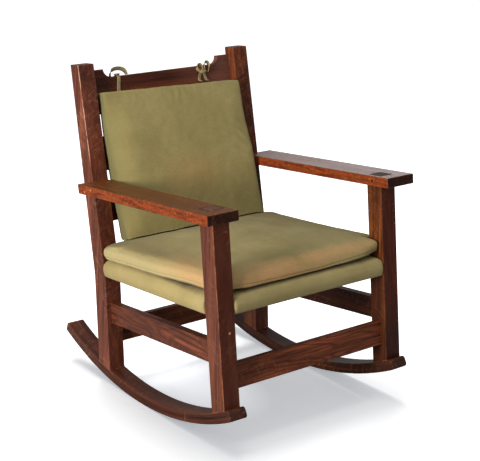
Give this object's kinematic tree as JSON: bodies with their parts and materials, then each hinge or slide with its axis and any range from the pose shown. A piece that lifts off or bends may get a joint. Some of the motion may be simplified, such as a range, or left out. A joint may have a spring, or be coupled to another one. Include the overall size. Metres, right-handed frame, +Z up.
{
  "type": "open-arm rocking chair",
  "caption": "Rocking chair of square dark oak members with flat open arms, an upholstered seat, a loose seat cushion and a back cushion tied to the crest rail.",
  "frame": {"origin": "on the floor, at the bottom centre of the whole chair's box, with the chair at rest on its rockers", "axes": "+X to the sitter's left, +Y to the rear, +Z up; the chair is tipped back 3.7 degrees about X, as it rests"},
  "size_m": [0.6962, 0.905, 0.9471],
  "materials": {
    "oak": "satin",
    "pin_wood": "satin",
    "dowel_wood": "matte",
    "rail_wood": "matte",
    "olive_cloth": "matte",
    "tape": "matte",
    "webbing": "matte",
    "padding": "matte"
  },
  "bodies": {
    "frame": {"arm_dowels": "dowel_wood", "arm_left": "oak", "arm_pin_left": "pin_wood", "arm_pin_right": "pin_wood", "arm_right": "oak", "back_slat_lower": "oak", "back_slat_upper": "oak", "crest_rail": "oak", "leg_front_left": "oak", "leg_front_right": "oak", "post_rear_left": "oak", "post_rear_right": "oak", "rocker_dowels": "dowel_wood", "rocker_left": "oak", "rocker_right": "oak", "seat_cover": "olive_cloth", "seat_cushion": "olive_cloth", "seat_padding": "padding", "seat_rail_front": "rail_wood", "seat_rail_rear": "rail_wood", "seat_rail_side_left": "rail_wood", "seat_rail_side_right": "rail_wood", "seat_webbing_cross": "webbing", "seat_webbing_long": "webbing", "stretcher_front": "oak", "stretcher_rear": "oak", "stretcher_side_left": "oak", "stretcher_side_right": "oak", "tie_band_left": "tape", "tie_band_right": "tape", "tie_knot_right": "tape", "tie_loop_right": "tape"},
    "back_cushion": {"back_cushion": "olive_cloth", "tie_tape_right": "tape", "tie_tapes_left": "tape", "tie_knot_left": "tape", "tie_loop_left": "tape", "tie_small_loop_left": "tape"}
  },
  "joints": [
    {"name": "back_cushion_swing", "type": "hinge", "parent": "frame", "child": "back_cushion", "pos_m": [0, 0.29786, 0.89987], "axis": [-1, 0, 0], "range_deg": [0, 60]}
  ]
}
